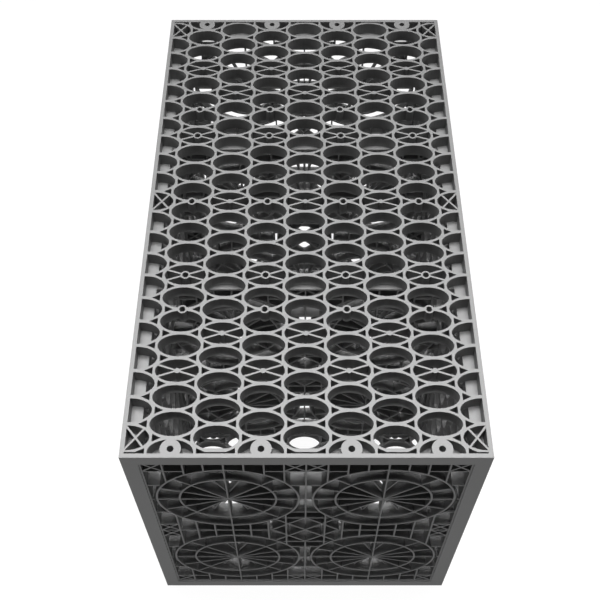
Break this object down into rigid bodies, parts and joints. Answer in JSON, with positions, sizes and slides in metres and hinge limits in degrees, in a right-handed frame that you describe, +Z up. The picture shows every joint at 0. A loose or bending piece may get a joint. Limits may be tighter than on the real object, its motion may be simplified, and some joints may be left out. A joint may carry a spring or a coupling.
{
  "type": "soakaway crate",
  "caption": "Open plastic box for storing rainwater underground: grille panels all round, pipe rings moulded into both end plates and ribbed plates across the inside.",
  "frame": {"origin": "middle of the underside, on the ground", "axes": "+X across the 400 mm width, +Y along the length from the front end to the rear end, +Z up"},
  "size_m": [0.4, 0.715, 0.44],
  "materials": {
    "panel_plastic": "moulded polypropylene, satin grey",
    "plate_plastic": "moulded polypropylene, satin grey"
  },
  "bodies": {
    "root": {"top_panel": "panel_plastic", "bottom_panel": "panel_plastic", "left_side_panel": "panel_plastic", "right_side_panel": "panel_plastic", "front_end_plate": "plate_plastic", "rear_end_plate": "plate_plastic", "front_inner_plate": "plate_plastic", "rear_inner_plate": "plate_plastic"}
  },
  "joints": []
}
